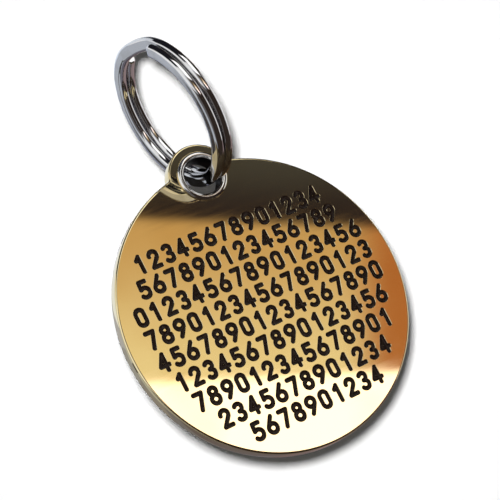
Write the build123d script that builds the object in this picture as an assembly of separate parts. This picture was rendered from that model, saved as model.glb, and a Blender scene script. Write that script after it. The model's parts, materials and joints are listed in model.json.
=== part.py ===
from build123d import *
import os
from math import atan2, cos, degrees, dist, floor, hypot, radians, sin, sqrt

# Pet id tag: an engraved brass disc with a rolled eyelet in its ear, hanging on a two-turn split ring.
# All lengths are millimetres. The tag is drawn about the middle of its disc, its face towards -Y and
# its ear towards +Z, and is then hung in balance under the middle of its ring, which is the origin.

# Split ring, a flat spring wire wound into two turns that cross over near its top
ring_outer_diameter = 20.0
wire_depth = 1.7
wire_width = 1.0
wire_corner_radius = 0.42
turn_gap = 0.42
crossing_angle = 36.0
crossing_place_angle = 36.0
wire_end_angle = 8.0
arcs_per_turn = 4

# Hole eyelet, a tube whose two ends are curled over the faces of the ear
wire_play = 1.84
eyelet_wall = 0.3
flange_width = 0.85
running_clearance = 0.05

# Tag blank, a disc with a round ear
disc_diameter = 38.0
blank_thickness = 2.0
ear_margin = 1.1
ear_inset = 1.4
shoulder_radius = 0.6
edge_break = 0.12

# How the slack ring lies in the eyelet, its angles and the shares of half the wire's play
ring_lean_angle = 11.0
ring_slant_angle = 24.0
ring_sideways_share = 0.62
ring_drop_share = 0.16

# Engraved rows of plain counting numerals, filled with black enamel
cap_height = 2.5
stroke_width = 0.52
digit_gap = 0.36
row_gap = 0.5
text_top_margin = 2.8
text_bottom_margin = 3.75
rim_margin = 1.7
groove_depth = 0.4
enamel_depth = 0.27
enamel_clearance = 0.02

# Centre lines of the ten digits, in shares of the height between the middles of their top and bottom
# strokes. A line is (x, y, x, y) and an arc is (x, y, radius) with its start and sweep in degrees.
digit_width_share = 0.54
digit_line_shares = {
    0: [(-0.26, 0.26, -0.26, 0.74), (0.26, 0.26, 0.26, 0.74)],
    1: [(0.06, 0, 0.06, 1), (0.06, 1, -0.15, 0.78)],
    2: [(0.205, 0.58, -0.26, 0), (-0.26, 0, 0.26, 0)],
    3: [],
    4: [(0.1, 1, -0.28, 0.3), (-0.28, 0.3, 0.28, 0.3), (0.1, 1, 0.1, 0)],
    5: [(-0.18, 1, 0.22, 1), (-0.18, 1, -0.205, 0.536)],
    6: [(0.14, 1, -0.234, 0.434)],
    7: [(-0.26, 1, 0.26, 1), (0.26, 1, -0.1, 0)],
    8: [],
    9: [(-0.14, 0, 0.234, 0.566)],
}
digit_arc_shares = {
    0: [((0, 0.74, 0.26), 0, 180), ((0, 0.26, 0.26), 180, 180)],
    1: [],
    2: [((0, 0.74, 0.26), -38, 218)],
    3: [((0, 0.76, 0.24), -90, 235), ((0, 0.26, 0.26), -145, 235)],
    4: [],
    5: [((-0.02, 0.3, 0.3), -140, 268)],
    6: [((0, 0.28, 0.28), 0, 360)],
    7: [],
    8: [((0, 0.77, 0.23), 0, 360), ((0, 0.27, 0.27), 0, 360)],
    9: [((0, 0.72, 0.28), 0, 360)],
}

# Ring sizes that follow: the middle of the wire, its two levels, and the width of both turns
ring_radius = ring_outer_diameter / 2 - wire_depth / 2
turn_level = (wire_width + turn_gap) / 2
turns_width = 2 * wire_width + turn_gap

# Eyelet sizes that follow: its bore passes both turns with play, and its curls stand on the ear
bore_radius = (hypot(turns_width, wire_depth) + wire_play) / 2
barrel_radius = bore_radius + eyelet_wall
flange_radius = bore_radius + flange_width
curl_radius = flange_width / 2

# Blank sizes that follow: the ear carries the eyelet, and the text fills the disc below it
disc_radius = disc_diameter / 2
half_thickness = blank_thickness / 2
ear_radius = flange_radius + ear_margin
ear_rise = disc_radius - ear_inset
text_top = ear_rise - flange_radius - text_top_margin
text_bottom = text_bottom_margin - disc_radius
cap_line_height = cap_height - stroke_width
digit_pitch = digit_width_share * cap_line_height + stroke_width + digit_gap
row_pitch = cap_height + row_gap
row_count = floor((text_top - text_bottom + row_gap) / row_pitch)

# Ring place: its centre stands over the hole, to the side it leans to and in front of the tag
lean = radians(ring_lean_angle)
slant = radians(ring_slant_angle)
hole_middle = Vector(0, 0, ear_rise)
ring_axis = Vector(cos(lean), 0, sin(lean))
ring_up = Vector(-sin(lean), 0, cos(lean))
ring_front = Vector(0, -1, 0)
wire_shift = ring_axis * ring_sideways_share - ring_up * ring_drop_share
wire_middle = hole_middle + wire_shift * (wire_play / 2)
ring_middle = wire_middle + (ring_up * cos(slant) + ring_front * sin(slant)) * ring_radius


def digit_face(digit, width):
    """One digit as a flat face: round-ended strokes of one width about its centre lines."""
    strokes = []
    for x0, y0, x1, y1 in digit_line_shares[digit]:
        start = Vector(x0, y0) * cap_line_height
        end = Vector(x1, y1) * cap_line_height
        strokes.append(SlotCenterPoint((start + end) / 2, end, width))
    for (x, y, radius_share), start_angle, sweep_angle in digit_arc_shares[digit]:
        middle = Vector(x, y) * cap_line_height
        radius = radius_share * cap_line_height
        if sweep_angle == 360:
            loop = Circle(radius + width / 2) - Circle(radius - width / 2)
            strokes.append(Pos(middle) * loop)
        else:
            strokes.append(SlotArc(CenterArc(middle, radius, start_angle, sweep_angle), width))
    face = strokes[0]
    for stroke in strokes[1:]:
        face = face + stroke
    return face


def row_middle(row):
    """Height of the middle of a row's digits above the disc's centre."""
    return (text_top + text_bottom) / 2 + ((row_count - 1) / 2 - row) * row_pitch


def row_digits(row):
    """Number of digits that fit across the disc at a row, clear of the rim."""
    reach = abs(row_middle(row)) + cap_height / 2
    half_chord = sqrt(disc_radius**2 - reach**2) - rim_margin
    return floor((2 * half_chord + digit_gap) / digit_pitch)


def digit_rows(width):
    """For each row, the placed faces of its digits, which go on counting from row to row."""
    faces = [digit_face(digit, width) for digit in range(10)]
    rows = []
    count = 1
    for row in range(row_count):
        digits = row_digits(row)
        foot = row_middle(row) - cap_line_height / 2
        placed = []
        for place in range(digits):
            across = (place - (digits - 1) / 2) * digit_pitch
            placed.append(Pos(across, foot) * faces[count % 10])
            count += 1
        rows.append(placed)
    return rows


def prisms(faces, depth, height):
    """Solids on flat faces, from a depth below the tag's front face up by a height."""
    floor_plane = Plane.XZ.offset(half_thickness - depth)
    return [solid for face in faces for solid in extrude(floor_plane * face, height).solids()]


def make_blank(rows):
    """The disc with its ear, shoulders and hole, its edges broken and the rows engraved."""
    ear = Pos(0, ear_rise) * Circle(ear_radius)
    plate = extrude(Plane.XZ * (Circle(disc_radius) + ear), half_thickness, both=True)
    shoulders = plate.edges().filter_by(Axis.Y).filter_by(lambda edge: edge.center().Z > ear_rise - ear_radius)
    plate = fillet(shoulders, shoulder_radius)
    plate = chamfer(plate.faces().filter_by(Axis.Y).edges(), edge_break)
    hole = Pos(0, ear_rise) * Circle(barrel_radius + running_clearance)
    plate = plate - extrude(Plane.XZ * hole, blank_thickness, both=True)
    cuts = [solid for faces in rows for solid in prisms(faces, groove_depth, 2 * groove_depth)]
    return plate - cuts


def make_eyelet():
    """The barrel and its two curls, turned about the axis of the hole in the ear."""
    lip_level = half_thickness + running_clearance
    section = Pos(bore_radius + eyelet_wall / 2, 0) * Rectangle(eyelet_wall, 2 * lip_level)
    for side in (1, -1):
        curl = Circle(curl_radius) - Circle(curl_radius - eyelet_wall)
        outer_half = Pos(0, side * curl_radius) * Rectangle(2 * curl_radius, 2 * curl_radius)
        section = section + Pos(bore_radius + curl_radius, side * lip_level) * (curl & outer_half)
    return Pos(0, 0, ear_rise) * revolve(Plane.XY * section, Axis.Y)


def ring_point(angle, level, radius):
    """A point about the ring's own axis, its angle counted from the ring's top."""
    return Vector(radius * cos(radians(angle)), radius * sin(radians(angle)), level)


def ring_path(radius):
    """A line along the wire: a flat turn, a crossing of two tangent arcs, and a second flat turn.

    The crossing's middle stands out by the level's share, so that its two arcs meet without a kink.
    """
    step = (360 - crossing_angle - wire_end_angle) / arcs_per_turn
    turns = []
    for first_angle, level in ((wire_end_angle, -turn_level), (0, turn_level)):
        for k in range(arcs_per_turn):
            angles = [first_angle + (k + part) * step for part in (0, 0.5, 1)]
            turns.append(ThreePointArc(*[ring_point(angle, level, radius) for angle in angles]))
    leave = ring_point(-crossing_angle, -turn_level, radius)
    middle = ring_point(-crossing_angle / 2, 0, hypot(radius, turn_level))
    arrive = ring_point(0, turn_level, radius)
    climb = TangentArc(leave, middle, tangent=turns[arcs_per_turn - 1] % 1)
    settle = TangentArc(middle, arrive, tangent=climb % 1)
    return turns[:arcs_per_turn] + [climb, settle] + turns[arcs_per_turn:]


def ring_self_gap(path):
    """Least distance between points on the wire's edges that are over half a turn apart along it."""
    steps = 24
    points = []
    for index, arc in enumerate(path):
        for k in range(steps):
            middle = arc @ (k / steps)
            outward = Vector(middle.X, middle.Y).normalized()
            for depth in (-wire_depth / 2, 0, wire_depth / 2):
                for width in (-wire_width / 2, wire_width / 2):
                    point = middle + outward * depth + Vector(0, 0, width)
                    points.append((index + k / steps, tuple(point)))
    apart = arcs_per_turn / 2
    return min(dist(p, q) for i, (a, p) in enumerate(points) for b, q in points[i:] if b - a > apart)


def make_ring():
    """The wound wire about the ring's centre, its section kept square to the ring's axis by a guide."""
    path = ring_path(ring_radius)
    guide = ring_path(ring_radius - wire_depth)
    start = path[0] @ 0
    section_plane = Plane(origin=start, x_dir=Vector(start.X, start.Y), z_dir=path[0] % 0)
    section = section_plane * RectangleRounded(wire_depth, wire_width, wire_corner_radius)
    wound = sweep(section, path=Wire(path), binormal=Wire(guide))
    print("ring self gap", round(ring_self_gap(path), 3))
    print("ring volume over section times length", wound.volume / (section.area * Wire(path).length))
    return Plane(origin=(0, 0, 0), x_dir=ring_up, z_dir=ring_axis) * Rot(Z=crossing_place_angle) * wound


grooves = digit_rows(stroke_width)
fills = digit_rows(stroke_width - 2 * enamel_clearance)
blank = make_blank(grooves)

# The tag's weight hangs straight below the ring's centre
overhang = blank.center(CenterOf.MASS) - ring_middle
tilt = Rot(X=-degrees(atan2(overhang.Y, -overhang.Z)))
hang = tilt * Pos(-ring_middle.X, -ring_middle.Y, -ring_middle.Z)

pieces = {
    "split_ring": tilt * make_ring(),
    "hole_eyelet": hang * make_eyelet(),
    "tag_blank": hang * blank,
}
for row, faces in enumerate(fills):
    pieces[f"enamel_row_{row + 1}"] = hang * Compound(children=prisms(faces, groove_depth, enamel_depth))

os.makedirs("parts", exist_ok=True)
for name, piece in pieces.items():
    piece.label = name
    export_step(piece, f"parts/{name}.step")

print("digits in each row", [len(faces) for faces in fills])
print("bore, flange, ear radius", bore_radius, flange_radius, ear_radius)
print("tilt", tilt.orientation)
print("ring axis", (tilt * Pos(ring_axis)).position)
print("hole middle", (hang * Pos(hole_middle)).position)
print("hole axis", (tilt * Pos(-ring_front)).position)
print("disc middle", (hang * Pos(Vector(0, 0, 0))).position)
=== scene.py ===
import json
from math import atan2, cos, floor, pi, radians, sin, sqrt

import bmesh
import bpy
import numpy as np
from mathutils import Matrix, Vector
from mathutils.geometry import delaunay_2d_cdt

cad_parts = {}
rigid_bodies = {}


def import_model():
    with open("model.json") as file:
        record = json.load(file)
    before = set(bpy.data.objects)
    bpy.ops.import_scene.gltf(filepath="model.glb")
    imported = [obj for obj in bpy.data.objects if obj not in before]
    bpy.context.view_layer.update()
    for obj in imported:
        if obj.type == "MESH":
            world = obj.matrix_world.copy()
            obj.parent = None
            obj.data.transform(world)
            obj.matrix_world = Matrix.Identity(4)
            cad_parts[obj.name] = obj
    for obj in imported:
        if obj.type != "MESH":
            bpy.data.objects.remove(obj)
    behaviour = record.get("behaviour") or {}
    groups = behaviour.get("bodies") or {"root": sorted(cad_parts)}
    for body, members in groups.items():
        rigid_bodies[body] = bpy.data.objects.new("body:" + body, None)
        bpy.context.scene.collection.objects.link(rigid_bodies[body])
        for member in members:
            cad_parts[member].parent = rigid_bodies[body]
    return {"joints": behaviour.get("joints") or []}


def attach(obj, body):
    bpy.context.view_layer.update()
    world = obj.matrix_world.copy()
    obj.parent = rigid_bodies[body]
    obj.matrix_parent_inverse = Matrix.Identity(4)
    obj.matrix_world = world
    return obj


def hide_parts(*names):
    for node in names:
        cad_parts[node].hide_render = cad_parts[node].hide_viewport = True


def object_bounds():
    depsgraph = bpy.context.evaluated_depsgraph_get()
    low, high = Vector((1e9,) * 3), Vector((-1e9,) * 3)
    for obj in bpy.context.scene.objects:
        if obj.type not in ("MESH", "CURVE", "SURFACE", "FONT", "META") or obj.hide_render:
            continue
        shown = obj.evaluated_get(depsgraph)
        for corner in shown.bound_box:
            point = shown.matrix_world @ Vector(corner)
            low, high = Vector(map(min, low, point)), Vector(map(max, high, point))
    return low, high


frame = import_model()
cad_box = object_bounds()

# Tag blank: a disc with a round ear, stamped from 2 mm brass sheet and buffed to a mirror. A round
# cutter has engraved its face with rows of plain counting numerals, and buffing has softened their edges.
# It is drawn in millimetres about the middle of the disc, x across, y up to the ear and z off the face.
mm = 0.001
disc_radius = 19.0
polish_loss = 0.005
half_thickness = 1.0
ear_radius = 4.3487
ear_rise = 17.6
shoulder_radius = 0.6
edge_radius = 0.24
edge_steps = 6
hole_radius = 2.748
disc_points = 320
ear_points = 80
shoulder_points = 10
hole_points = 96

cap_height = 2.5
stroke_width = 0.52
digit_gap = 0.36
row_pitch = 3.0
row_count = 9
rows_middle = -1.849
rim_margin = 1.7
groove_depth = 0.4
groove_bevel = 0.05
outline_step = 0.03
outline_margin = 3 * groove_bevel
outline_tolerance = 0.003
weld_distance = outline_tolerance / 10
same_point = 1e-6

brass_colour = (0.88, 0.75, 0.45)
brass_stain_colour = (0.828, 0.673, 0.368)
haze_noise_span = (0.35, 0.7)
stain_noise_span = (0.5, 0.8)

# Centre lines of the ten digits, in shares of the height between the middles of their top and bottom
# strokes. A line is (x, y, x, y) and an arc is (x, y, radius) with its start and sweep in degrees.
digit_width_share = 0.54
digit_line_shares = {
    0: [(-0.26, 0.26, -0.26, 0.74), (0.26, 0.26, 0.26, 0.74)],
    1: [(0.06, 0, 0.06, 1), (0.06, 1, -0.15, 0.78)],
    2: [(0.205, 0.58, -0.26, 0), (-0.26, 0, 0.26, 0)],
    3: [],
    4: [(0.1, 1, -0.28, 0.3), (-0.28, 0.3, 0.28, 0.3), (0.1, 1, 0.1, 0)],
    5: [(-0.18, 1, 0.22, 1), (-0.18, 1, -0.205, 0.536)],
    6: [(0.14, 1, -0.234, 0.434)],
    7: [(-0.26, 1, 0.26, 1), (0.26, 1, -0.1, 0)],
    8: [],
    9: [(-0.14, 0, 0.234, 0.566)],
}
digit_arc_shares = {
    0: [((0, 0.74, 0.26), 0, 180), ((0, 0.26, 0.26), 180, 180)],
    1: [],
    2: [((0, 0.74, 0.26), -38, 218)],
    3: [((0, 0.76, 0.24), -90, 235), ((0, 0.26, 0.26), -145, 235)],
    4: [],
    5: [((-0.02, 0.3, 0.3), -140, 268)],
    6: [((0, 0.28, 0.28), 0, 360)],
    7: [],
    8: [((0, 0.77, 0.23), 0, 360), ((0, 0.27, 0.27), 0, 360)],
    9: [((0, 0.72, 0.28), 0, 360)],
}

swing = next(joint for joint in frame["joints"] if joint["name"] == "tag_swing")
tag_out = -Vector(swing["axis"]).normalized()
tag_across = Vector((1, 0, 0))
tag_up = tag_out.cross(tag_across)
tag_turn = Matrix((tag_across, tag_up, tag_out)).transposed().to_4x4()
tag_place = Matrix.Translation(swing["pos_m"]) @ tag_turn @ Matrix.Scale(mm, 4)
tag_place = tag_place @ Matrix.Translation((0, -ear_rise, 0))
line_height = cap_height - stroke_width
digit_pitch = digit_width_share * line_height + stroke_width + digit_gap


def arc(middle, radius, start, end, count):
    """Points along an arc, without its last one."""
    angles = np.linspace(start, end, count, endpoint=False)
    return np.column_stack((middle[0] + radius * np.cos(angles), middle[1] + radius * np.sin(angles)))


def blank_outline(inset):
    """The outline of disc, shoulders and ear, moved in from the edge, anticlockwise."""
    inset += polish_loss
    to_disc = disc_radius + shoulder_radius
    to_ear = ear_radius + shoulder_radius
    rise = (to_disc**2 - to_ear**2 + ear_rise**2) / (2 * ear_rise)
    spread = sqrt(to_disc**2 - rise**2)
    at_disc = atan2(rise, spread)
    at_ear = atan2(rise - ear_rise, spread)
    fillet = shoulder_radius + inset
    return np.concatenate((
        arc((0, 0), disc_radius - inset, pi - at_disc, 2 * pi + at_disc, disc_points),
        arc((spread, rise), fillet, pi + at_disc, pi + at_ear, shoulder_points),
        arc((0, ear_rise), ear_radius - inset, at_ear, pi - at_ear, ear_points),
        arc((-spread, rise), fillet, -at_ear, -at_disc, shoulder_points),
    ))


def digit_distance(digit, x, y):
    """Distance of points about a digit's middle from its nearest centre line."""
    nearest = np.full(x.shape, np.inf)
    y = y + line_height / 2
    for line in digit_line_shares[digit]:
        x0, y0, x1, y1 = (share * line_height for share in line)
        along = ((x - x0) * (x1 - x0) + (y - y0) * (y1 - y0)) / ((x1 - x0) ** 2 + (y1 - y0) ** 2)
        along = np.clip(along, 0, 1)
        nearest = np.minimum(nearest, np.hypot(x - x0 - along * (x1 - x0), y - y0 - along * (y1 - y0)))
    for shares, start, sweep in digit_arc_shares[digit]:
        middle_x, middle_y, radius = (share * line_height for share in shares)
        turned = np.mod(np.degrees(np.arctan2(y - middle_y, x - middle_x)) - start, 360)
        turned = np.where(turned > sweep / 2 + 180, 0, np.minimum(turned, sweep))
        reach = np.radians(turned + start)
        nearest = np.minimum(
            nearest, np.hypot(x - middle_x - radius * np.cos(reach), y - middle_y - radius * np.sin(reach))
        )
    return nearest


def thin(loop):
    """A closed loop without the points that its shape can spare."""
    def keep(first, last):
        chord = loop[last % len(loop)] - loop[first]
        between = loop[first + 1:last] - loop[first]
        if len(between) == 0:
            return []
        off = np.abs(chord[0] * between[:, 1] - chord[1] * between[:, 0]) / np.hypot(*chord)
        if off.max() < outline_tolerance:
            return []
        far = first + 1 + int(off.argmax())
        return keep(first, far) + [far] + keep(far, last)

    half = int(np.hypot(*(loop - loop[0]).T).argmax())
    return loop[[0] + keep(0, half) + [half] + keep(half, len(loop))]


def digit_loops(digit, level):
    """Closed loops round a digit at one distance from its centre lines, with the stroke on their left."""
    reach_x = (digit_width_share * line_height + stroke_width) / 2 + outline_margin
    reach_y = cap_height / 2 + outline_margin
    grid_x = np.arange(-reach_x, reach_x, outline_step)
    grid_y = np.arange(-reach_y, reach_y, outline_step)
    field = digit_distance(digit, *np.meshgrid(grid_x, grid_y)) - level
    inside = field < 0
    crossings, links = {}, {}
    cells = inside[:-1, :-1].astype(int) + inside[:-1, 1:] + inside[1:, 1:] + inside[1:, :-1]
    for i, j in np.argwhere((cells > 0) & (cells < 4)):
        corners = [(i, j), (i, j + 1), (i + 1, j + 1), (i + 1, j)]
        leaving, entering = [], []
        for k, here in enumerate(corners):
            there = corners[(k + 1) % 4]
            if inside[here] == inside[there]:
                continue
            edge = (min(here, there), max(here, there))
            share = field[edge[0]] / (field[edge[0]] - field[edge[1]])
            crossings[edge] = (
                grid_x[edge[0][1]] + share * (grid_x[edge[1][1]] - grid_x[edge[0][1]]),
                grid_y[edge[0][0]] + share * (grid_y[edge[1][0]] - grid_y[edge[0][0]]),
            )
            (leaving if inside[here] else entering).append((k, edge))
        for k, edge in leaving:
            links[edge] = min(entering, key=lambda mark: (mark[0] - k) % 4)[1]
    loops = []
    while links:
        edge, onward = links.popitem()
        loop = [crossings[edge]]
        while onward in links:
            loop.append(crossings[onward])
            onward = links.pop(onward)
        loops.append(thin(np.array(loop)))
    return loops


def filled(loops, wanted):
    """Delaunay triangles on closed loops: their flat points, the loop of each, and the wanted triangles."""
    owners = np.concatenate([np.full(len(loop), k) for k, loop in enumerate(loops)])
    edges = []
    for loop in loops:
        first = len(edges)
        edges += [(first + k, first + (k + 1) % len(loop)) for k in range(len(loop))]
    points = [Vector(point) for point in np.concatenate(loops)]
    flat, _, triangles, sources, _, _ = delaunay_2d_cdt(points, edges, [], 0, same_point)
    flat = np.array(flat)
    triangles = np.array(triangles)
    middles = flat[triangles].mean(axis=1)
    return flat, owners[[source[0] for source in sources]], triangles[wanted(middles[:, 0], middles[:, 1])]


def raised(flat, height):
    """Flat points lifted to one height, or each to its own."""
    return np.column_stack((flat, np.broadcast_to(height, len(flat))))


def wall(upper, lower, faces_left):
    """Faces between two like loops, looking to the left or the right of the way they run."""
    count = len(upper)
    faces = []
    for k in range(count):
        after = (k + 1) % count
        face = (k, after, count + after, count + k)
        faces.append(face if faces_left else face[::-1])
    return np.concatenate((upper, lower)), faces, True


def digit_places():
    """For each row, the digits in it with the places of their middles, counting on from row to row."""
    rows = []
    count = 1
    for row in range(row_count):
        height = rows_middle + ((row_count - 1) / 2 - row) * row_pitch
        half_chord = sqrt(disc_radius**2 - (abs(height) + cap_height / 2) ** 2) - rim_margin
        digits = floor((2 * half_chord + digit_gap) / digit_pitch)
        places = []
        for place in range(digits):
            places.append((count % 10, ((place - (digits - 1) / 2) * digit_pitch, height)))
            count += 1
        rows.append(places)
    return rows


def make_mesh(name, parts, place):
    """A mesh of parts, each its points, faces and whether they are smooth, joined where points meet."""
    points, faces, smooth = [], [], []
    for part_points, part_faces, part_smooth in parts:
        first = len(points)
        points.extend(map(tuple, part_points))
        faces.extend(tuple(first + int(k) for k in face) for face in part_faces)
        smooth.extend([part_smooth] * len(part_faces))
    mesh = bpy.data.meshes.new(name)
    mesh.from_pydata(points, [], faces)
    mesh.polygons.foreach_set("use_smooth", smooth)
    work = bmesh.new()
    work.from_mesh(mesh)
    bmesh.ops.remove_doubles(work, verts=work.verts, dist=weld_distance)
    work.to_mesh(mesh)
    work.free()
    mesh.transform(place)
    return mesh


def new_object(name, data):
    """An object of the scene that holds a mesh, a lamp or a camera."""
    made = bpy.data.objects.new(name, data)
    bpy.context.scene.collection.objects.link(made)
    return made


def make_piece(name, mesh, material):
    """A piece of the object, its place in its mesh."""
    mesh.materials.clear()
    mesh.materials.append(material)
    return new_object(name, mesh)


def groove_parts(digit):
    """One digit's groove about its middle: a softened edge, upright walls and a floor."""
    half_stroke = stroke_width / 2
    wide = half_stroke + groove_bevel
    edge_loops = digit_loops(digit, wide)
    wall_loops = digit_loops(digit, half_stroke)
    flat, owners, triangles = filled(
        edge_loops + wall_loops,
        lambda x, y: (digit_distance(digit, x, y) < wide) & (digit_distance(digit, x, y) > half_stroke),
    )
    drop = np.where(owners < len(edge_loops), 0, groove_bevel)
    parts = [(raised(flat, half_thickness - drop), triangles, True)]
    for loop in wall_loops:
        top = raised(loop, half_thickness - groove_bevel)
        parts.append(wall(top, raised(loop, half_thickness - groove_depth), True))
    flat, _, triangles = filled(wall_loops, lambda x, y: digit_distance(digit, x, y) < half_stroke)
    parts.append((raised(flat, half_thickness - groove_depth), triangles, False))
    return edge_loops, parts


def blank_parts():
    """The engraved blank: both faces, a rounded rim, the wall of the hole and all the grooves."""
    grooves = [groove_parts(digit) for digit in range(10)]
    placed = [digit_and_place for row in digit_places() for digit_and_place in row]
    hole = arc((0, ear_rise), hole_radius, 0, 2 * pi, hole_points)
    face_edge = blank_outline(edge_radius)
    parts, loops = [], [face_edge, hole]
    for digit, place in placed:
        edge_loops, digit_parts = grooves[digit]
        loops += [loop + place for loop in edge_loops]
        parts += [(points + (*place, 0), faces, smooth) for points, faces, smooth in digit_parts]

    def in_sheet(x, y):
        around = np.array(face_edge)
        after = np.roll(around, -1, axis=0)
        crossed = np.zeros(x.shape, bool)
        for (x0, y0), (x1, y1) in zip(around, after):
            if y0 != y1:
                crossed ^= ((y0 > y) != (y1 > y)) & (x < x0 + (y - y0) * (x1 - x0) / (y1 - y0))
        return crossed & (np.hypot(x, y - ear_rise) > hole_radius)

    def in_face(x, y):
        left = in_sheet(x, y)
        wide = stroke_width / 2 + groove_bevel
        for digit, (place_x, place_y) in placed:
            near = np.flatnonzero((np.abs(x - place_x) < digit_pitch) & (np.abs(y - place_y) < cap_height))
            cut = digit_distance(digit, x[near] - place_x, y[near] - place_y) < wide
            left[near[cut]] = False
        return left

    flat, _, triangles = filled(loops, in_face)
    parts.append((raised(flat, half_thickness), triangles, False))
    flat, _, triangles = filled([face_edge, hole], in_sheet)
    parts.append((raised(flat, -half_thickness), triangles[:, ::-1], False))
    parts.append(wall(raised(hole, half_thickness), raised(hole, -half_thickness), True))
    rim = []
    for side in (1, -1):
        for k in range(edge_steps + 1)[::side]:
            turn = k * pi / 2 / edge_steps
            inset = edge_radius * (1 - sin(turn))
            level = side * (half_thickness - edge_radius * (1 - cos(turn)))
            rim.append(raised(blank_outline(inset), level))
    parts += [wall(upper, lower, False) for upper, lower in zip(rim, rim[1:])]
    return parts


def add_node(tree, kind, inputs=(), **settings):
    """A node with its settings, and its inputs set or linked."""
    node = tree.nodes.new(kind)
    for name, value in settings.items():
        setattr(node, name, value)
    for name, value in dict(inputs).items():
        if isinstance(value, bpy.types.NodeSocket):
            tree.links.new(value, node.inputs[name])
        else:
            node.inputs[name].default_value = value
    return node


def ranged(tree, value, span, new_span=(0.0, 1.0), smooth=False):
    """A value of one span turned into a new one, which it leaves and reaches softly if smooth."""
    node = add_node(
        tree,
        "ShaderNodeMapRange",
        {
            "Value": value,
            "From Min": span[0],
            "From Max": span[1],
            "To Min": new_span[0],
            "To Max": new_span[1],
        },
        interpolation_type="SMOOTHSTEP" if smooth else "LINEAR",
    )
    return node.outputs["Result"]


def mixed(tree, share, first, second):
    """A colour between two others, each of them a plain colour or a socket."""
    first, second = (
        colour if isinstance(colour, bpy.types.NodeSocket) else (*colour, 1) for colour in (first, second)
    )
    node = add_node(tree, "ShaderNodeMix", {"Factor": share, 6: first, 7: second}, data_type="RGBA")
    return node.outputs[2]


def new_tree(name, kind, inputs, outputs):
    """A node group with named sockets, and the nodes that stand for its two sides."""
    tree = bpy.data.node_groups.new(name, kind)
    for socket, socket_type in inputs.items():
        tree.interface.new_socket(socket, in_out="INPUT", socket_type=socket_type)
    for socket, socket_type in outputs.items():
        tree.interface.new_socket(socket, in_out="OUTPUT", socket_type=socket_type)
    return tree, tree.nodes.new("NodeGroupInput").outputs, tree.nodes.new("NodeGroupOutput").inputs


def make_polishing_marks():
    """What a buffing wheel leaves on metal: fine lines, soft waves and patches that are a little dull."""
    tree, given, made = new_tree(
        "Polishing marks",
        "ShaderNodeTree",
        {
            "Wave scale": "NodeSocketFloat",
            "Wave depth": "NodeSocketFloat",
            "Line scale": "NodeSocketVector",
            "Line depth": "NodeSocketFloat",
            "Least haze": "NodeSocketFloat",
            "Most haze": "NodeSocketFloat",
        },
        {"Haze": "NodeSocketFloat", "Stain": "NodeSocketFloat", "Normal": "NodeSocketVector"},
    )
    place = add_node(tree, "ShaderNodeTexCoord").outputs["Object"]
    stretch = add_node(tree, "ShaderNodeVectorMath", {0: place, 1: given["Line scale"]}, operation="MULTIPLY")

    def noise(vector, scale, detail):
        node = add_node(tree, "ShaderNodeTexNoise", {"Vector": vector, "Scale": scale, "Detail": detail})
        return node.outputs["Fac"]

    waves = noise(place, given["Wave scale"], 1.0)
    lines = noise(stretch.outputs[0], 1.0, 2.0)
    haze = ranged(tree, lines, haze_noise_span, (given["Least haze"], given["Most haze"]))
    stain = ranged(tree, waves, stain_noise_span)
    waved = add_node(
        tree, "ShaderNodeBump", {"Height": waves, "Distance": given["Wave depth"], "Strength": 1.0}
    )
    lined = add_node(
        tree,
        "ShaderNodeBump",
        {
            "Height": lines,
            "Distance": given["Line depth"],
            "Strength": 1.0,
            "Normal": waved.outputs["Normal"],
        },
    )
    tree.links.new(haze, made["Haze"])
    tree.links.new(stain, made["Stain"])
    tree.links.new(lined.outputs["Normal"], made["Normal"])
    return tree


polishing_marks = make_polishing_marks()


def new_material(name):
    """A material, with its tree and its main shader."""
    material = bpy.data.materials.new(name)
    material.use_nodes = True
    return material, material.node_tree, material.node_tree.nodes["Principled BSDF"]


def polished_metal(name, bright, stained, marks):
    """A polished metal whose colour turns from bright to stained in its dull patches."""
    material, tree, shader = new_material(name)
    shader.inputs["Metallic"].default_value = 1.0
    polish = add_node(tree, "ShaderNodeGroup", marks, node_tree=polishing_marks)
    tint = mixed(tree, polish.outputs["Stain"], bright, stained)
    tree.links.new(tint, shader.inputs["Base Color"])
    tree.links.new(polish.outputs["Haze"], shader.inputs["Roughness"])
    tree.links.new(polish.outputs["Normal"], shader.inputs["Normal"])
    return material


polished_brass = polished_metal(
    "Polished brass",
    brass_colour,
    brass_stain_colour,
    {
        "Wave scale": 110.0,
        "Wave depth": 1.2e-6,
        "Line scale": (160.0, 1800.0, 1800.0),
        "Line depth": 0.0,
        "Least haze": 0.03,
        "Most haze": 0.05,
    },
)
blank = make_piece("brass_blank", make_mesh("brass_blank", blank_parts(), tag_place), polished_brass)
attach(blank, "tag")
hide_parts("tag_blank")

# Enamel rows: black enamel flowed into the cut numerals and wiped flush, which sank as it hardened.
# It clings to the walls of each groove, so its surface is hollow along the middle of every stroke.
enamel_edge_drop = 0.06
enamel_hollow_shares = (0.72, 0.4)
enamel_hollow_drops = (0.115, 0.14)
enamel_overlap = 0.004
enamel_colour = (0.005, 0.0026, 0.0018)
enamel_dust_colour = (0.013, 0.009, 0.007)
enamel_dust_span = (0.5, 0.75)
enamel_roughness_span = (0.12, 0.24)
enamel_specular = 0.14
enamel_peel_scale = 2600.0
enamel_peel_depth = 3e-6


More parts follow.
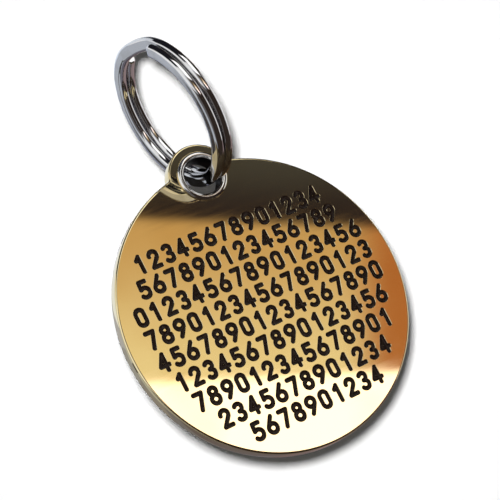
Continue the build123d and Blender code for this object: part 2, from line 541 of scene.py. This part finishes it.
def enamel_parts(digit):
    """The enamel in one digit's groove about its middle, hollow on top."""
    half_stroke = stroke_width / 2
    half_enamel = half_stroke + enamel_overlap
    side_loops = digit_loops(digit, half_enamel)
    loops = list(side_loops)
    drops = [enamel_edge_drop] * len(side_loops)
    for share, drop in zip(enamel_hollow_shares, enamel_hollow_drops):
        hollow_loops = digit_loops(digit, share * half_stroke)
        loops += hollow_loops
        drops += [drop] * len(hollow_loops)

    def in_stroke(x, y):
        return digit_distance(digit, x, y) < half_enamel

    flat, owners, triangles = filled(loops, in_stroke)
    parts = [(raised(flat, half_thickness - np.array(drops)[owners]), triangles, True)]
    base = half_thickness - groove_depth
    for loop in side_loops:
        parts.append(wall(raised(loop, half_thickness - enamel_edge_drop), raised(loop, base), False))
    flat, _, triangles = filled(side_loops, in_stroke)
    parts.append((raised(flat, base), triangles[:, ::-1], False))
    return parts


def make_row_tree():
    """Digits set out along a row: each point of the row takes the digit that it names."""
    tree, given, made = new_tree(
        "Row of digits",
        "GeometryNodeTree",
        {
            "Places": "NodeSocketGeometry",
            "Digits": "NodeSocketCollection",
            "Enamel": "NodeSocketMaterial",
        },
        {"Row": "NodeSocketGeometry"},
    )
    shapes = add_node(
        tree, "GeometryNodeCollectionInfo", {"Collection": given["Digits"], "Separate Children": True}
    )
    which = add_node(tree, "GeometryNodeInputNamedAttribute", {"Name": "digit"}, data_type="INT")
    set_out = add_node(
        tree,
        "GeometryNodeInstanceOnPoints",
        {
            "Points": given["Places"],
            "Instance": shapes.outputs["Instances"],
            "Pick Instance": True,
            "Instance Index": which.outputs["Attribute"],
        },
    )
    real = add_node(tree, "GeometryNodeRealizeInstances", {"Geometry": set_out.outputs["Instances"]})
    coated = add_node(
        tree, "GeometryNodeSetMaterial", {"Geometry": real.outputs["Geometry"], "Material": given["Enamel"]}
    )
    tree.links.new(coated.outputs["Geometry"], made["Row"])
    return tree


def node_mesh(name, start_mesh, tree, values):
    """The plain mesh that a tree of geometry nodes makes from a start mesh and named values."""
    holder = new_object(name, start_mesh)
    modifier = holder.modifiers.new(name, "NODES")
    modifier.node_group = tree
    for item in tree.interface.items_tree:
        if item.in_out == "INPUT" and item.name in values:
            modifier[item.identifier] = values[item.name]
    bpy.context.view_layer.update()
    made = holder.evaluated_get(bpy.context.evaluated_depsgraph_get())
    mesh = bpy.data.meshes.new_from_object(made)
    holder.modifiers.clear()
    bpy.data.objects.remove(holder)
    return mesh


def make_enamel():
    """Hardened black enamel, glossy with a faint orange peel and a little dust."""
    material, tree, shader = new_material("Black enamel")
    shader.inputs["Specular IOR Level"].default_value = enamel_specular
    place = add_node(tree, "ShaderNodeTexCoord").outputs["Object"]
    noise = add_node(tree, "ShaderNodeTexNoise", {"Vector": place, "Scale": enamel_peel_scale, "Detail": 2.0})
    peel = noise.outputs["Fac"]
    colour = mixed(tree, ranged(tree, peel, enamel_dust_span), enamel_colour, enamel_dust_colour)
    roughness = ranged(tree, peel, (0.0, 1.0), enamel_roughness_span)
    bump = add_node(
        tree, "ShaderNodeBump", {"Height": peel, "Distance": enamel_peel_depth, "Strength": 1.0}
    )
    tree.links.new(colour, shader.inputs["Base Color"])
    tree.links.new(roughness, shader.inputs["Roughness"])
    tree.links.new(bump.outputs["Normal"], shader.inputs["Normal"])
    return material


black_enamel = make_enamel()
row_tree = make_row_tree()
digit_shapes = bpy.data.collections.new("digit_shapes")
for digit in range(10):
    shape = bpy.data.objects.new(f"digit_{digit}", make_mesh(f"digit_{digit}", enamel_parts(digit), Matrix()))
    digit_shapes.objects.link(shape)
for row, places in enumerate(digit_places()):
    points = bpy.data.meshes.new("row_places")
    points.from_pydata([(*place, 0) for _, place in places], [], [])
    points.attributes.new("digit", "INT", "POINT").data.foreach_set("value", [digit for digit, _ in places])
    row_mesh = node_mesh("row_places", points, row_tree, {"Digits": digit_shapes, "Enamel": black_enamel})
    row_mesh.transform(tag_place)
    enamel_row = make_piece(f"enamel_numerals_{row + 1}", row_mesh, black_enamel)
    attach(enamel_row, "tag")
    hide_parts(f"enamel_row_{row + 1}")
for shape in list(digit_shapes.objects):
    bpy.data.objects.remove(shape)
bpy.data.collections.remove(digit_shapes)

# Hole eyelet: a short tube of nickel-plated brass pushed through the ear, its two ends rolled over
# into round lips that stand on the faces and save the hole from wear.
bore_radius = 2.3987
eyelet_wall = 0.3
lip_width = 0.85
lip_gap = 0.05
lip_steps = 16
eyelet_steps = 128
eyelet_colour = (0.74, 0.73, 0.71)
eyelet_stain_colour = (0.6, 0.57, 0.52)
# Inside the bore the colour and polish turn darker: partly grime, partly painted shade in the hollow.
grime_and_shade_colour = (0.045, 0.04, 0.036)
grime_and_shade_roughness = 0.35
grime_and_shade_reach = 0.12


def eyelet_parts():
    """The eyelet turned about the hole: a loop of rings up its bore, over the lips and round its barrel."""
    lip_radius = lip_width / 2
    lip_level = half_thickness + lip_gap
    section = []
    for side in (1, -1):
        lip = []
        for k in range(lip_steps + 1):
            turn = pi * k / lip_steps
            out = bore_radius + lip_radius - lip_radius * cos(turn)
            lip.append((out, side * (lip_level + lip_radius * sin(turn))))
        lip.append((bore_radius + eyelet_wall, side * lip_level))
        section += lip[::side]
    rings = [raised(arc((0, ear_rise), radius, 0, 2 * pi, eyelet_steps), level) for radius, level in section]
    return [wall(upper, lower, True) for lower, upper in zip(rings, rings[1:] + rings[:1])]


def make_bore_grime_and_shade():
    """The dull dark film inside a bore, partly grime and partly painted shade in its hollow, fading out over
    its lip.
    """
    tree, given, made = new_tree(
        "Bore grime and shade",
        "ShaderNodeTree",
        {
            "Middle": "NodeSocketVector",
            "Axis": "NodeSocketVector",
            "Clean radius": "NodeSocketFloat",
            "Dark radius": "NodeSocketFloat",
        },
        {"Grime and shade": "NodeSocketFloat"},
    )
    place = add_node(tree, "ShaderNodeTexCoord").outputs["Object"]
    offset = add_node(tree, "ShaderNodeVectorMath", {0: place, 1: given["Middle"]}, operation="SUBTRACT")
    across = add_node(
        tree, "ShaderNodeVectorMath", {0: offset.outputs[0], 1: given["Axis"]}, operation="CROSS_PRODUCT"
    )
    radius = add_node(tree, "ShaderNodeVectorMath", {0: across.outputs[0]}, operation="LENGTH")
    grime_and_shade = ranged(
        tree, radius.outputs["Value"], (given["Clean radius"], given["Dark radius"]), smooth=True
    )
    tree.links.new(grime_and_shade, made["Grime and shade"])
    return tree


def paint_bore_grime_and_shade(material, values):
    """Lays grime and painted shade over the colour and the polish of a metal."""
    tree = material.node_tree
    shader = tree.nodes["Principled BSDF"]
    grime_and_shade = add_node(tree, "ShaderNodeGroup", values, node_tree=make_bore_grime_and_shade()).outputs["Grime and shade"]
    clean_colour = shader.inputs["Base Color"].links[0].from_socket
    clean_haze = shader.inputs["Roughness"].links[0].from_socket
    colour = mixed(tree, grime_and_shade, clean_colour, grime_and_shade_colour)
    haze = ranged(tree, grime_and_shade, (0.0, 1.0), (clean_haze, grime_and_shade_roughness))
    tree.links.new(colour, shader.inputs["Base Color"])
    tree.links.new(haze, shader.inputs["Roughness"])


nickel_eyelet = polished_metal(
    "Nickel-plated eyelet",
    eyelet_colour,
    eyelet_stain_colour,
    {
        "Wave scale": 900.0,
        "Wave depth": 6e-6,
        "Line scale": (1800.0, 1800.0, 9000.0),
        "Line depth": 3e-7,
        "Least haze": 0.06,
        "Most haze": 0.2,
    },
)
# The bore is darkened by a mask about the hole: painted shade, with some grime.
paint_bore_grime_and_shade(
    nickel_eyelet,
    {
        "Middle": tag_place @ Vector((0, ear_rise, 0)),
        "Axis": tag_out,
        "Clean radius": (bore_radius + grime_and_shade_reach) * mm,
        "Dark radius": bore_radius * mm,
    },
)
eyelet = make_piece("rolled_eyelet", make_mesh("rolled_eyelet", eyelet_parts(), tag_place), nickel_eyelet)
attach(eyelet, "eyelet")
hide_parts("hole_eyelet")

# Split ring: nickel-plated spring wire, rolled flat with round edges and wound into two turns, so that
# it can be threaded onto a collar. Near the top one turn crosses over to lie beside the other.
ring_radius = 9.147
wire_depth = 1.7
wire_width = 1.14
wire_corner_radius = 0.5
wire_corner_steps = 10
turn_gap = 0.14
turn_level = (wire_width + turn_gap) / 2
full_turn = 360.0
crossing_angle = 36.0
crossing_end_angle = 36.0
wire_end_angle = 8.0
wire_end_share = 0.8
wire_points = 520
nickel_colour = (0.74, 0.74, 0.75)
nickel_stain_colour = (0.66, 0.65, 0.64)


def make_ring_tree():
    """A wire wound flat for one turn, across to the next level and flat again for a second turn."""
    tree, given, made = new_tree(
        "Wound ring wire",
        "GeometryNodeTree",
        {
            "Ring radius": "NodeSocketFloat",
            "Turn level": "NodeSocketFloat",
            "Crossing angle": "NodeSocketFloat",
            "Crossing end angle": "NodeSocketFloat",
            "Wire end angle": "NodeSocketFloat",
            "Wire end share": "NodeSocketFloat",
            "Wire depth": "NodeSocketFloat",
            "Wire width": "NodeSocketFloat",
            "Corner radius": "NodeSocketFloat",
            "Corner steps": "NodeSocketInt",
            "Wire points": "NodeSocketInt",
            "Plating": "NodeSocketMaterial",
        },
        {"Ring": "NodeSocketGeometry"},
    )

    def sum_of(operation, *values):
        node = add_node(tree, "ShaderNodeMath", dict(enumerate(values)), operation=operation)
        return node.outputs[0]

    def place_at(x, y, z):
        return add_node(tree, "ShaderNodeCombineXYZ", {"X": x, "Y": y, "Z": z}).outputs[0]

    along = add_node(tree, "GeometryNodeSplineParameter").outputs["Factor"]
    straight = add_node(tree, "GeometryNodeCurvePrimitiveLine")
    points = add_node(
        tree,
        "GeometryNodeResampleCurve",
        {"Curve": straight.outputs["Curve"], "Count": given["Wire points"]},
    )
    both_ends = sum_of("MULTIPLY", given["Wire end angle"], 2.0)
    span = sum_of("SUBTRACT", sum_of("SUBTRACT", 2 * full_turn, given["Crossing angle"]), both_ends)
    wound = sum_of("MULTIPLY_ADD", along, span, given["Wire end angle"])
    crossing_start = sum_of("SUBTRACT", full_turn, given["Crossing angle"])
    low_level = sum_of("MULTIPLY", given["Turn level"], -1.0)
    level = ranged(tree, wound, (crossing_start, full_turn), (low_level, given["Turn level"]), smooth=True)
    angle = sum_of("RADIANS", sum_of("ADD", wound, given["Crossing end angle"]))
    path_place = place_at(
        sum_of("MULTIPLY", sum_of("COSINE", angle), given["Ring radius"]),
        sum_of("MULTIPLY", sum_of("SINE", angle), given["Ring radius"]),
        level,
    )
    path = add_node(
        tree, "GeometryNodeSetPosition", {"Geometry": points.outputs["Curve"], "Position": path_place}
    )
    upright = add_node(
        tree, "GeometryNodeSetCurveNormal", {"Curve": path.outputs["Geometry"]}, mode="Z_UP"
    )
    ends = add_node(tree, "GeometryNodeCurveEndpointSelection")
    thickness = ranged(tree, ends.outputs[0], (0.0, 1.0), (1.0, given["Wire end share"]))
    tapered = add_node(
        tree, "GeometryNodeSetCurveRadius", {"Curve": upright.outputs["Curve"], "Radius": thickness}
    )
    square = add_node(
        tree,
        "GeometryNodeCurvePrimitiveQuadrilateral",
        {"Width": given["Wire depth"], "Height": given["Wire width"]},
    )
    section = add_node(
        tree,
        "GeometryNodeFilletCurve",
        {
            "Curve": square.outputs["Curve"],
            "Count": given["Corner steps"],
            "Radius": given["Corner radius"],
            "Limit Radius": True,
        },
        mode="POLY",
    )
    wire = add_node(
        tree,
        "GeometryNodeCurveToMesh",
        {
            "Curve": tapered.outputs["Curve"],
            "Profile Curve": section.outputs["Curve"],
            "Scale": add_node(tree, "GeometryNodeInputRadius").outputs["Radius"],
            "Fill Caps": True,
        },
    )
    smooth = add_node(tree, "GeometryNodeSetShadeSmooth", {"Geometry": wire.outputs["Mesh"]})
    real = add_node(tree, "GeometryNodeRealizeInstances", {"Geometry": smooth.outputs["Geometry"]})
    plated = add_node(
        tree, "GeometryNodeSetMaterial", {"Geometry": real.outputs["Geometry"], "Material": given["Plating"]}
    )
    tree.links.new(plated.outputs["Geometry"], made["Ring"])
    return tree


bright_nickel = polished_metal(
    "Bright nickel wire",
    nickel_colour,
    nickel_stain_colour,
    {
        "Wave scale": 500.0,
        "Wave depth": 1.5e-6,
        "Line scale": (900.0, 900.0, 900.0),
        "Line depth": 2e-7,
        "Least haze": 0.05,
        "Most haze": 0.13,
    },
)
ring_values = {
    "Ring radius": ring_radius,
    "Turn level": turn_level,
    "Crossing angle": crossing_angle,
    "Crossing end angle": crossing_end_angle,
    "Wire end angle": wire_end_angle,
    "Wire end share": wire_end_share,
    "Wire depth": wire_depth,
    "Wire width": wire_width,
    "Corner radius": wire_corner_radius,
    "Corner steps": wire_corner_steps,
    "Wire points": wire_points,
    "Plating": bright_nickel,
}
ring_run = next(joint for joint in frame["joints"] if joint["name"] == "ring_run")
ring_axis = Vector(ring_run["axis"]).normalized()
ring_up = tag_out.cross(ring_axis)
ring_turn = Matrix((ring_up, tag_out, ring_axis)).transposed().to_4x4()
ring_mesh = node_mesh("wound_wire", bpy.data.meshes.new("wound_wire"), make_ring_tree(), ring_values)
ring_mesh.transform(Matrix.Translation(ring_run["pos_m"]) @ ring_turn @ Matrix.Scale(mm, 4))
ring = make_piece("wound_ring", ring_mesh, bright_nickel)
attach(ring, "ring")
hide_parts("split_ring")

# Camera: a long lens, close in, to the left of the tag and a little below its middle. It is rolled, so
# that the tag leans in the picture. Its place and aim are in the tag's own millimetres.
camera_place = (-81.85, -26.01, 172.02)
camera_aim = (1.192, 6.659, 1.0)
camera_roll = 27.3
lens_length = 112.72
sensor_width = 36.0
image_pixels = 500
nearest_seen = 0.001

camera_data = bpy.data.cameras.new("camera")
camera_data.lens = lens_length
camera_data.sensor_width = sensor_width
camera_data.clip_start = nearest_seen
camera = new_object("camera", camera_data)
bpy.context.scene.camera = camera
sight = (Vector(camera_aim) - Vector(camera_place)).normalized()
side = sight.cross(Vector((0, 1, 0))).normalized()
level_up = side.cross(sight)
sight_right = side * cos(radians(camera_roll)) - level_up * sin(radians(camera_roll))
sight_up = sight_right.cross(sight)
camera_turn = Matrix((sight_right, sight_up, -sight)).transposed().to_4x4()
camera.matrix_world = Matrix.Translation(tag_place @ Vector(camera_place)) @ tag_turn @ camera_turn

# Studio: sheets that only the metal sees. The polished face mirrors a far board, which is a dark room at
# the top, a warm wall in the middle and a bright table at the foot. The rims, the eyelet and the ring
# mirror a tent of bands, and a small dark card behind the ear puts painted shade into its hole.
board_far = 900.0
board_columns = (85, 435)
board_rows = (135, 480)
dark_turn_row = 185.0
dark_turn_soft = 30.0
dark_edge_row = 214.0
dark_edge_slope = 0.036
dark_edge_soft = 6.0
wall_turn_row = 305.0
wall_turn_soft = 75.0
bright_edge_row = 391.5
bright_edge_slope = -0.052
bright_edge_soft = 5.5
warm_turn_column = 365.0
warm_turn_soft = 28.0
dark_room_top = (0.062, 0.061, 0.063)
dark_room = (0.029, 0.022, 0.025)
warm_wall_top = (0.638, 0.415, 0.191)
warm_wall = (0.908, 0.779, 0.498)
warm_corner = (0.483, 0.178, 0.059)
bright_table = (2.4, 2.1, 1.97)
# A dark card behind the ear, seen only in reflections, puts painted shade into the hole.
shade_card_level = -1.9
shade_card_reach = 2.3
shade_card_colour = (0.012, 0.011, 0.01)
tent_radius = 900.0
tent_step = 5
black_cloth = (0.012, 0.012, 0.016)
brown_cloth = (0.035, 0.025, 0.02)
pale_wall = (0.5, 0.53, 0.58)
# Each band of the tent runs round from one angle to another, 0 in front of the face and 90 over its
# top, and along the tent from one share of its radius to another.
tent_bands = {
    "lit_ceiling": (21, 55, 0.12, 0.65, (1.6, 1.6, 1.58)),
    "dark_ceiling": (55, 120, 0.12, 0.65, black_cloth),
    "dark_right_ceiling": (20, 145, 0.65, 2.1, brown_cloth),
    "lit_lens_side": (20, 36, -0.75, 0.12, (0.9, 0.9, 0.88)),
    "dark_lens_side": (36, 100, -0.75, 0.12, black_cloth),
    "lit_lens_top": (100, 120, -0.75, 0.12, (0.8, 0.84, 0.9)),
    "cream_lens_side": (-12, 20, -0.75, -0.3, (0.6, 0.61, 0.65)),
    "dark_front": (-12, 20, -0.3, -0.12, brown_cloth),
    "dark_front_foot": (-12, -2, -0.12, 0.12, brown_cloth),
    "warm_front": (-2, 18, -0.12, 0.12, (0.24, 0.2, 0.14)),
    "dark_right_front": (-12, 20, 0.12, 1.7, brown_cloth),
    "dark_ground": (250, 348, -0.75, 1.7, brown_cloth),
    "dark_left_ground": (250, 348, -5.0, -0.75, (0.13, 0.12, 0.12)),
    "upper_right_wall": (120, 145, 0.25, 0.65, pale_wall),
    "left_wall_top": (120, 172, -0.75, -0.45, pale_wall),
    "left_wall_gap": (172, 176, -0.56, -0.5, (0.04, 0.036, 0.034)),
    "left_wall_foot": (176, 250, -0.56, -0.5, (0.52, 0.56, 0.6)),
    "left_wall_edge": (172, 250, -0.5, -0.45, (0.3, 0.31, 0.36)),
    "left_wall_dark": (172, 250, -0.75, -0.56, (0.06, 0.05, 0.045)),
    "far_left_wall": (120, 250, -5.0, -0.75, pale_wall),
    "back_wall_top": (120, 160, -0.45, 0.25, (0.85, 0.92, 1.05)),
    "back_wall_upper": (160, 167, -0.45, 0.25, (0.45, 0.48, 0.62)),
    "back_wall_middle": (167, 178, -0.45, 0.25, (0.34, 0.365, 0.45)),
    "back_wall_lower": (178, 191, -0.45, 0.25, (0.27, 0.27, 0.31)),
    "back_wall_low": (191, 198, -0.45, 0.25, (0.19, 0.195, 0.25)),
    "back_wall_foot": (198, 250, -0.45, 0.25, (0.145, 0.13, 0.16)),
    "right_back_wall": (145, 250, 0.25, 0.42, (0.187, 0.145, 0.16)),
    "far_right_wall": (145, 250, 0.42, 2.1, (0.3, 0.223, 0.222)),
}


def mirrored(vector):
    """A direction or place in the tag's own axes, seen in its polished face."""
    return Vector((vector[0], vector[1], -vector[2]))


def board_place(column, row):
    """Where the board shows in the face at a pixel of the image, in the tag's own millimetres."""
    pixels_per_slope = image_pixels * lens_length / sensor_width
    way = sight + sight_right * ((column - image_pixels / 2) / pixels_per_slope)
    way -= sight_up * ((row - image_pixels / 2) / pixels_per_slope)
    lens = mirrored(Vector(camera_place) - Vector((0, 0, half_thickness)))
    return lens + mirrored(way) * board_far + Vector((0, 0, half_thickness))


def stage_sheet(name, points, faces, uv, material):
    """A sheet of the studio, with the texture place of each point."""
    mesh = bpy.data.meshes.new(name)
    mesh.from_pydata([tuple(point) for point in points], [], faces)
    layer = mesh.uv_layers.new(name="UVMap")
    for loop, corner in zip(mesh.loops, layer.data):
        corner.uv = uv[loop.vertex_index]
    mesh.materials.append(material)
    sheet = new_object(name, mesh)
    return sheet


square = [(0, 0), (1, 0), (1, 1), (0, 1)]
square_corners = [(-1, -1), (1, -1), (1, 1), (-1, 1)]


def flat_sheet(name, points, material):
    """A sheet of the studio with four corners."""
    return stage_sheet(name, points, [(0, 1, 2, 3)], square, material)


def square_about(middle, across, up, reach):
    """The corners of a square about a place in the tag's own millimetres."""
    return [tag_place @ (middle + (across * x + up * y) * reach) for x, y in square_corners]


def ear_square(level, reach):
    """The corners of a square across the hole in the ear, so far in front of the sheet's middle."""
    return square_about(Vector((0, ear_rise, level)), Vector((1, 0, 0)), Vector((0, 1, 0)), reach)


def only_mirrored(sheet):
    """Leaves a sheet of the studio to be seen in shiny surfaces alone."""
    sheet.visible_camera = False
    sheet.visible_diffuse = False
    sheet.visible_shadow = False
    sheet.visible_transmission = False
    sheet.visible_volume_scatter = False
    return sheet


def glowing(name):
    """A material that gives off light, with its tree and the socket of its colour."""
    material, tree, shader = new_material(name)
    tree.nodes.remove(shader)
    glow = add_node(tree, "ShaderNodeEmission", {"Strength": 1.0})
    tree.links.new(glow.outputs[0], tree.nodes["Material Output"].inputs["Surface"])
    return material, tree, glow.inputs["Color"]


def make_board_paint():
    """The three bands of the board, with soft edges at the image rows where the face shows them."""
    material, tree, shown = glowing("Board paint")
    place = add_node(tree, "ShaderNodeUVMap").outputs["UV"]
    split = add_node(tree, "ShaderNodeSeparateXYZ", {"Vector": place}).outputs

    def scaled(value, factor, offset):
        node = add_node(tree, "ShaderNodeMath", {0: value, 1: factor, 2: offset}, operation="MULTIPLY_ADD")
        return node.outputs[0]

    def passed(value, middle, soft):
        return ranged(tree, value, (middle - soft, middle + soft), smooth=True)

    column = scaled(split["X"], board_columns[1] - board_columns[0], board_columns[0])
    row = scaled(split["Y"], board_rows[1] - board_rows[0], board_rows[0])
    under_dark = passed(scaled(column, -dark_edge_slope, row), dark_edge_row, dark_edge_soft)
    on_table = passed(scaled(column, -bright_edge_slope, row), bright_edge_row, bright_edge_soft)
    dark = mixed(tree, passed(row, dark_turn_row, dark_turn_soft), dark_room_top, dark_room)
    warm = mixed(tree, passed(row, wall_turn_row, wall_turn_soft), warm_wall_top, warm_wall)
    warm = mixed(tree, passed(column, warm_turn_column, warm_turn_soft), warm, warm_corner)
    colour = mixed(tree, on_table, mixed(tree, under_dark, dark, warm), bright_table)
    tree.links.new(colour, shown)
    return material


board_points = [tag_place @ board_place(board_columns[u], board_rows[v]) for u, v in square]
only_mirrored(flat_sheet("board", board_points, make_board_paint()))

# The dark card behind the ear is painted shade for the hole, seen only in reflections.
shade_card_paint, _, shown = glowing("Shade card")
shown.default_value = (*shade_card_colour, 1)
only_mirrored(flat_sheet("hole_card", ear_square(shade_card_level, shade_card_reach), shade_card_paint))

for band, (first, last, left, right, colour) in tent_bands.items():
    band_points = []
    for angle in np.linspace(first, last, 2 + (last - first) // tent_step):
        for x in (left, right):
            way = Vector((x, sin(radians(angle)), cos(radians(angle))))
            band_points.append(tag_place @ (way * tent_radius))
    band_faces = [(k, k + 1, k + 3, k + 2) for k in range(0, len(band_points) - 2, 2)]
    band_uv = [(k % 2, k // 2) for k in range(len(band_points))]
    band_paint, _, shown = glowing(band)
    shown.default_value = (*colour, 1)
    only_mirrored(stage_sheet(band, band_points, band_faces, band_uv, band_paint))

# Floor and backdrop: pale sheets that look white and keep the object's shadow. A small lamp beside the
# lens throws that shadow on the backdrop, which is clear from behind, and a shade that nothing sees
# closes the ear's hole to that lamp. A large lamp overhead lights the tag evenly.
floor_drop = 0.15
floor_reach = 3.0
backdrop_behind = 60.0
backdrop_reach = 75.0
shade_reach = 2.6
shadow_lamp_shift = (-2.7, 4.3)
shadow_lamp_radius = 2.7
shadow_lamp_power = 2.8
shadow_lamp_cone = 58.0
overhead_lamp_size = 0.5
overhead_lamp_power = 0.25
overhead_lamp_height = 0.7
pale_colour = (0.92, 0.92, 0.92)
pale_roughness = 0.9
floor_glow = 0.9
backdrop_glow = 0.02
air_light = 0.03
white = (1, 1, 1, 1)


def seen_share(tree):
    """A socket that is 1 to the camera, also by way of metal and glass, and 0 to the light that bounces."""
    rays = add_node(tree, "ShaderNodeLightPath").outputs
    seen = rays["Is Camera Ray"]
    for ray in ("Is Glossy Ray", "Is Transmission Ray"):
        seen = add_node(tree, "ShaderNodeMath", {0: seen, 1: rays[ray]}, operation="ADD").outputs[0]
    return seen


def make_pale_paint(name, glow_share):
    """Pale paint that looks white and keeps shadows."""
    material, tree, shader = new_material(name)
    shader.inputs["Base Color"].default_value = (*pale_colour, 1)
    shader.inputs["Roughness"].default_value = pale_roughness
    shader.inputs["Specular IOR Level"].default_value = 0.0
    shader.inputs["Emission Color"].default_value = white
    glow = add_node(tree, "ShaderNodeMath", {0: seen_share(tree), 1: glow_share}, operation="MULTIPLY")
    tree.links.new(glow.outputs[0], shader.inputs["Emission Strength"])
    return material


def make_backdrop_paint():
    """Pale paint that is clear from behind."""
    material = make_pale_paint("Backdrop paint", backdrop_glow)
    tree = material.node_tree
    shader = tree.nodes["Principled BSDF"]
    behind = add_node(tree, "ShaderNodeNewGeometry").outputs["Backfacing"]
    clear = add_node(tree, "ShaderNodeBsdfTransparent")
    either = add_node(tree, "ShaderNodeMixShader", {0: behind, 1: shader.outputs[0], 2: clear.outputs[0]})
    tree.links.new(either.outputs[0], tree.nodes["Material Output"].inputs["Surface"])
    return material


floor_level = cad_box[0][2] - floor_drop
floor_points = [(x * floor_reach, y * floor_reach, floor_level) for x, y in square_corners]
floor_sheet = flat_sheet("floor", floor_points, make_pale_paint("Floor paint", floor_glow))
floor_sheet.visible_glossy = False

backdrop_middle = Vector(camera_aim) + sight * backdrop_behind
backdrop_points = square_about(backdrop_middle, sight_right, sight_up, backdrop_reach)
backdrop = flat_sheet("backdrop", backdrop_points, make_backdrop_paint())
backdrop.visible_diffuse = False
backdrop.visible_glossy = False
backdrop.visible_shadow = False

shade_paint = make_pale_paint("Shade paint", 0.0)
shade = only_mirrored(flat_sheet("hole_shade", ear_square(0, shade_reach), shade_paint))
shade.visible_glossy = False
shade.visible_shadow = True

shadow_lamp_data = bpy.data.lights.new("shadow_lamp", "SPOT")
shadow_lamp_data.shadow_soft_size = shadow_lamp_radius * mm
shadow_lamp_data.energy = shadow_lamp_power
shadow_lamp_data.spot_size = radians(shadow_lamp_cone)
shadow_lamp = new_object("shadow_lamp", shadow_lamp_data)
beside_lens = Vector(camera_place) + sight_right * shadow_lamp_shift[0] + sight_up * shadow_lamp_shift[1]
shadow_lamp.matrix_world = Matrix.Translation(tag_place @ beside_lens) @ tag_turn @ camera_turn
shadow_lamp.visible_glossy = False
shadow_lamp.visible_camera = False

world = bpy.data.worlds.new("studio_air")
bpy.context.scene.world = world
world.use_nodes = True
air = world.node_tree
soft = air.nodes["Background"]
soft.inputs["Color"].default_value = white
soft.inputs["Strength"].default_value = air_light
plain = add_node(air, "ShaderNodeBackground", {"Color": white, "Strength": 1.0})
either = add_node(air, "ShaderNodeMixShader", {0: seen_share(air), 1: soft.outputs[0], 2: plain.outputs[0]})
air.links.new(either.outputs[0], air.nodes["World Output"].inputs["Surface"])

overhead_lamp_data = bpy.data.lights.new("lamp", "AREA")
overhead_lamp_data.shape = "DISK"
overhead_lamp_data.size = overhead_lamp_size
overhead_lamp_data.energy = overhead_lamp_power
overhead_lamp = new_object("lamp", overhead_lamp_data)
overhead_lamp.location = (0, 0, overhead_lamp_height)
overhead_lamp.visible_glossy = False

bpy.context.scene.view_settings.view_transform = "Standard"
